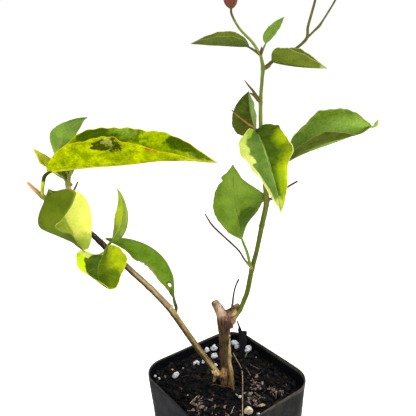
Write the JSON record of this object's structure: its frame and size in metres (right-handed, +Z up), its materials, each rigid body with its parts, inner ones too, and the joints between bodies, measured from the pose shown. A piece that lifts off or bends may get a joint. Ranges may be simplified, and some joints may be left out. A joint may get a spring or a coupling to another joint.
{
  "type": "young bougainvillea plant in a nursery pot",
  "caption": "Young bougainvillea in a small square nursery pot: a cut-back woody stem with slender shoots, variegated leaves, thorns and closed flower buds.",
  "frame": {"origin": "centre of the pot's flat underside", "axes": "+Z up, +X to the plant's right as seen from its front, +Y to its back; the pot is turned 37.5 degrees about Z"},
  "size_m": [0.1555, 0.0784, 0.2697],
  "materials": {
    "pot_plastic": "thin black nursery-pot plastic, satin, dusty with soil",
    "tag_plastic": "satin black plastic",
    "potting_soil": "damp peat and bark crumbs with white perlite grains",
    "old_bark": "rough grey-brown bark with tan streaks",
    "tan_cane": "smooth tan bark, dark on its shaded side",
    "green_shoot": "smooth green young bark",
    "dry_thorn": "dry brown wood",
    "yellow_leaf": "waxy leaf, yellow with green mottling",
    "lime_leaf": "waxy leaf, lime green and dark green",
    "variegated_leaf": "waxy leaf, green with pale lime margins",
    "olive_leaf": "waxy leaf, dark olive green",
    "green_leaf": "waxy leaf, mid green"
  },
  "bodies": {
    "root": {"corner_tag": "tag_plastic", "foliage_left_curled": "lime_leaf", "foliage_left_drooping": "green_leaf", "foliage_left_end": "yellow_leaf", "foliage_left_fork": "green_leaf", "foliage_left_middle": "lime_leaf", "foliage_right_big": "green_leaf", "foliage_right_front": "variegated_leaf", "foliage_right_lower": "green_leaf", "foliage_right_rear": "olive_leaf", "foliage_top": "green_leaf", "foliage_top_right": "olive_leaf", "left_cane": "tan_cane", "pot": "pot_plastic", "right_shoot": "green_shoot", "soil": "potting_soil", "thorn_middle": "dry_thorn", "thorn_upper": "dry_thorn", "trunk": "old_bark"}
  },
  "joints": []
}
